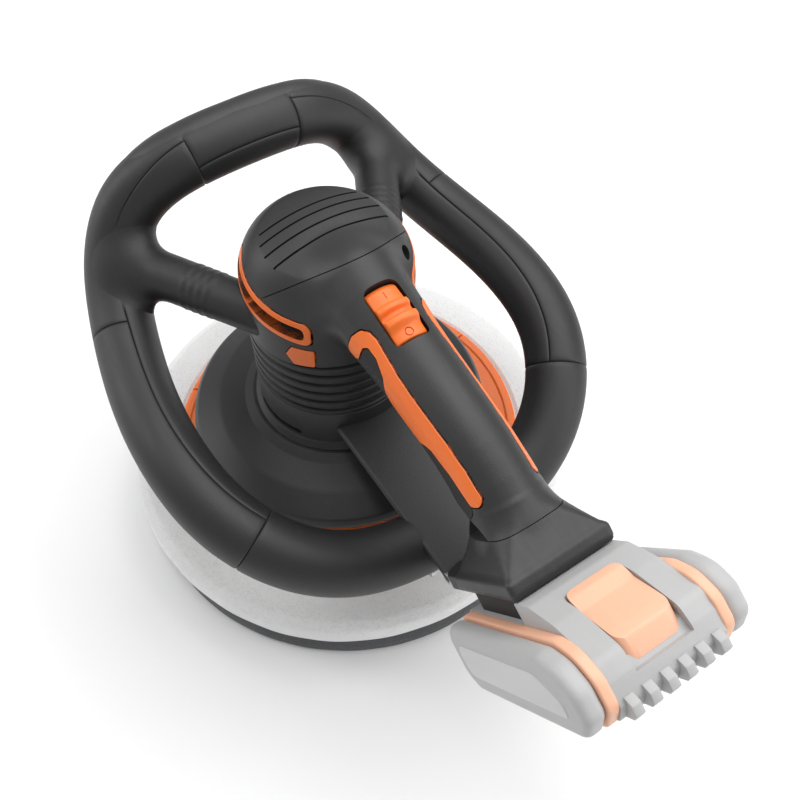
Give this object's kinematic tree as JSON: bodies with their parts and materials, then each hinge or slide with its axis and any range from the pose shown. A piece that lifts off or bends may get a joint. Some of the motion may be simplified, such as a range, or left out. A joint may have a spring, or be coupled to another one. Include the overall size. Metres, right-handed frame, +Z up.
{
  "type": "cordless orbital polisher",
  "caption": "Cordless orbital polisher: round foam pad under a motor tower, loop handle all round, rear grip with slide switch and a slide-on battery.",
  "frame": {"origin": "on the motor shaft's axis, in the plane that the pad's face rests on", "axes": "+Z up along the motor shaft, +X towards the rear handle and battery, +Y to the right-hand side seen from the battery end looking forward"},
  "size_m": [0.3653, 0.254, 0.2237],
  "materials": {
    "orange_plastic": "semi-gloss moulded nylon",
    "grey_plastic": "fine-textured moulded nylon",
    "black_rubber": "soft-touch over-moulding",
    "black_plastic": "matt moulding",
    "foam": "soft open-cell foam under a knitted cover",
    "pad_cloth": "dense dark foam band",
    "pale_plastic": "pale moulded case",
    "peach_plastic": "pale orange moulding",
    "steel": "bright",
    "cast_weight": "as cast",
    "ferrite": "dull",
    "copper": "bright copper alloy",
    "board": "solder mask",
    "lead_cover": "smooth insulation"
  },
  "bodies": {
    "housing": {"lower_collar": "grey_plastic", "base_cover": "grey_plastic", "neck_sleeve": "black_rubber", "dome_cap": "grey_plastic", "upper_housing": "grey_plastic", "grip_underside": "black_rubber", "side_trims": "orange_plastic", "vent_frames": "orange_plastic", "badges": "orange_plastic", "switch_module": "black_plastic", "lower_arm": "grey_plastic", "control_board": "board", "battery_foot": "grey_plastic", "dock_rail": "black_plastic", "dock_terminals": "copper", "power_leads": "lead_cover", "motor_can": "steel", "motor_magnets": "ferrite", "brush_plate": "black_plastic", "carbon_brushes": "copper", "motor_mounts": "black_plastic", "bearing_carrier": "black_plastic", "shaft_bearings": "steel", "loop_core": "grey_plastic", "loop_front_grip": "grey_plastic", "loop_corner_grip_right": "black_rubber", "loop_corner_grip_left": "black_rubber", "loop_side_grip_right": "black_rubber", "loop_side_grip_left": "black_rubber", "loop_inner_shell_right": "grey_plastic", "loop_inner_shell_left": "grey_plastic", "loop_links": "black_rubber", "spokes": "grey_plastic", "housing_screws": "steel"},
    "rotor": {"motor_shaft": "steel", "armature_core": "steel", "armature_coils": "copper", "commutator": "copper", "cooling_fan": "black_plastic", "counterweight": "cast_weight", "crank_hub": "steel", "pad_washer": "steel", "pad_screw": "steel"},
    "pad": {"backing_plate": "orange_plastic", "pad_bearings": "steel", "bearing_circlip": "steel", "foam_pad": "foam", "pad_face": "pad_cloth"},
    "switch": {"switch_slider": "orange_plastic"},
    "battery": {"pack_cover": "pale_plastic", "pack_tub": "pale_plastic", "pack_trims": "peach_plastic", "pack_plates": "peach_plastic", "battery_cells": "steel", "cell_holders": "black_plastic", "cell_straps": "steel", "pack_board": "board", "pack_contacts": "copper", "latch_spring": "steel"},
    "release_button": {"release_button": "peach_plastic"}
  },
  "joints": [
    {"name": "rotor_spin", "type": "hinge", "parent": "housing", "child": "rotor", "pos_m": [0, 0, 0.1], "axis": [0, 0, 1], "continuous": true},
    {"name": "pad_spin", "type": "hinge", "parent": "rotor", "child": "pad", "pos_m": [0, 0.004, 0.05], "axis": [0, 0, 1], "continuous": true},
    {"name": "switch_slide", "type": "slide", "parent": "housing", "child": "switch", "axis": [-0.9882, 0, 0.1532], "range_m": [0, 0.0045]},
    {"name": "battery_slide", "type": "slide", "parent": "housing", "child": "battery", "axis": [0.5299, 0, 0.848], "range_m": [0, 0.06]},
    {"name": "button_press", "type": "slide", "parent": "battery", "child": "release_button", "axis": [0.848, 0, -0.5299], "range_m": [0, 0.003], "stiffness_N_per_m": 800, "springref_m": -0.001}
  ]
}
